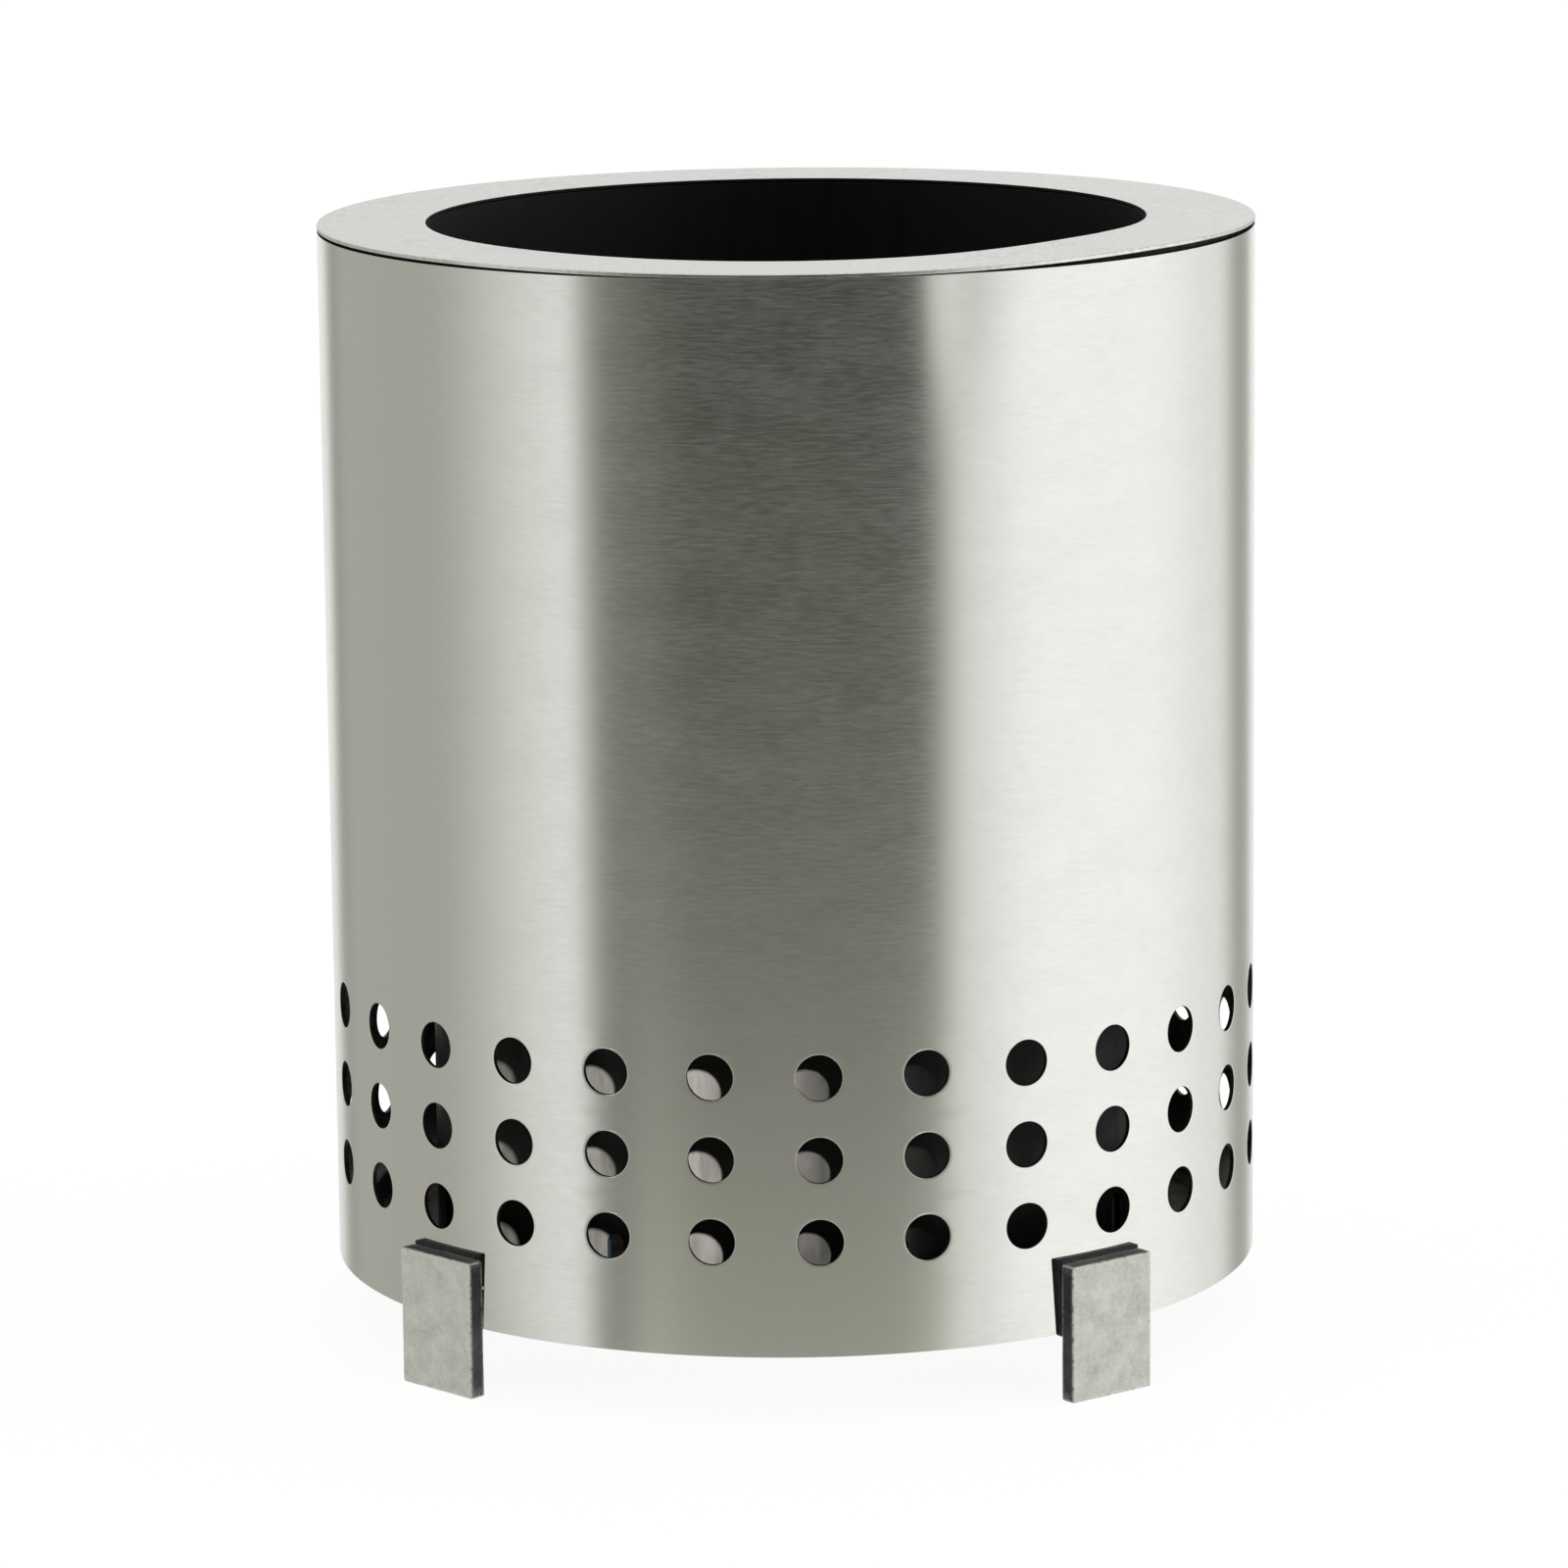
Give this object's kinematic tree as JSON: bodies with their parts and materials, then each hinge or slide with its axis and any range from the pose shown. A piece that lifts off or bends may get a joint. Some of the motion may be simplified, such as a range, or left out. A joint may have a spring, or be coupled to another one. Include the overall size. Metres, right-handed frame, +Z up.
{
  "type": "chimney charcoal starter",
  "caption": "Double-walled charcoal starter: a vented steel jacket on plate feet, a removable fire tube under a flat top ring, a wire grate and an ash pan.",
  "frame": {"origin": "the centre of the ground rectangle under the feet, on the axis of the jacket", "axes": "+Z up along the jacket's axis; -Y to the front, midway between two feet and between two columns of vents; +X to the right seen from the front"},
  "size_m": [0.2058, 0.2058, 0.2447],
  "materials": {
    "brushed_shell": "horizontal brushed stainless sheet",
    "ring_sheet": "satin stainless sheet with a bright deburred edge",
    "tube_black": "matt black heat-proof coating, darkened by soot",
    "foot_steel": "mottled dull grey flat bar with worn bright edges",
    "dark_steel": "near-black scaled steel",
    "screw_zinc": "zinc plated",
    "grate_steel": "bare steel wire and sheet, dulled by heat",
    "pan_steel": "bare pressed steel sheet, dulled by heat"
  },
  "bodies": {
    "jacket": {"outer_shell": "brushed_shell", "foot_plate_1": "foot_steel", "foot_spacer_1": "dark_steel", "foot_ledge_1": "dark_steel", "foot_plate_2": "foot_steel", "foot_spacer_2": "dark_steel", "foot_ledge_2": "dark_steel", "foot_plate_3": "foot_steel", "foot_spacer_3": "dark_steel", "foot_ledge_3": "dark_steel", "foot_plate_4": "foot_steel", "foot_spacer_4": "dark_steel", "foot_ledge_4": "dark_steel", "foot_screw_1_left": "screw_zinc", "foot_screw_1_right": "screw_zinc", "foot_screw_2_left": "screw_zinc", "foot_screw_2_right": "screw_zinc", "foot_screw_3_left": "screw_zinc", "foot_screw_3_right": "screw_zinc", "foot_screw_4_left": "screw_zinc", "foot_screw_4_right": "screw_zinc"},
    "ash_pan": {"ash_pan": "pan_steel"},
    "fire_tube": {"fire_tube": "tube_black", "top_ring": "ring_sheet", "locating_collar": "tube_black", "grate_lug_1": "grate_steel", "lug_rivet_1": "grate_steel", "grate_lug_2": "grate_steel", "lug_rivet_2": "grate_steel", "grate_lug_3": "grate_steel", "lug_rivet_3": "grate_steel", "grate_lug_4": "grate_steel", "lug_rivet_4": "grate_steel"},
    "grate": {"grate_ring": "grate_steel", "grate_bar_1": "grate_steel", "grate_bar_2": "grate_steel", "grate_bar_3": "grate_steel", "grate_bar_4": "grate_steel", "grate_bar_5": "grate_steel", "grate_bar_6": "grate_steel", "grate_bar_7": "grate_steel", "grate_bar_8": "grate_steel", "grate_bar_9": "grate_steel"}
  },
  "joints": [
    {"name": "pan_lift", "type": "slide", "parent": "jacket", "child": "ash_pan", "axis": [0, 0, 1], "range_m": [0, 0.24]},
    {"name": "tube_lift", "type": "slide", "parent": "ash_pan", "child": "fire_tube", "axis": [0, 0, 1], "range_m": [0, 0.24]},
    {"name": "grate_lift", "type": "slide", "parent": "fire_tube", "child": "grate", "axis": [0, 0, 1], "range_m": [0, 0.17]}
  ]
}
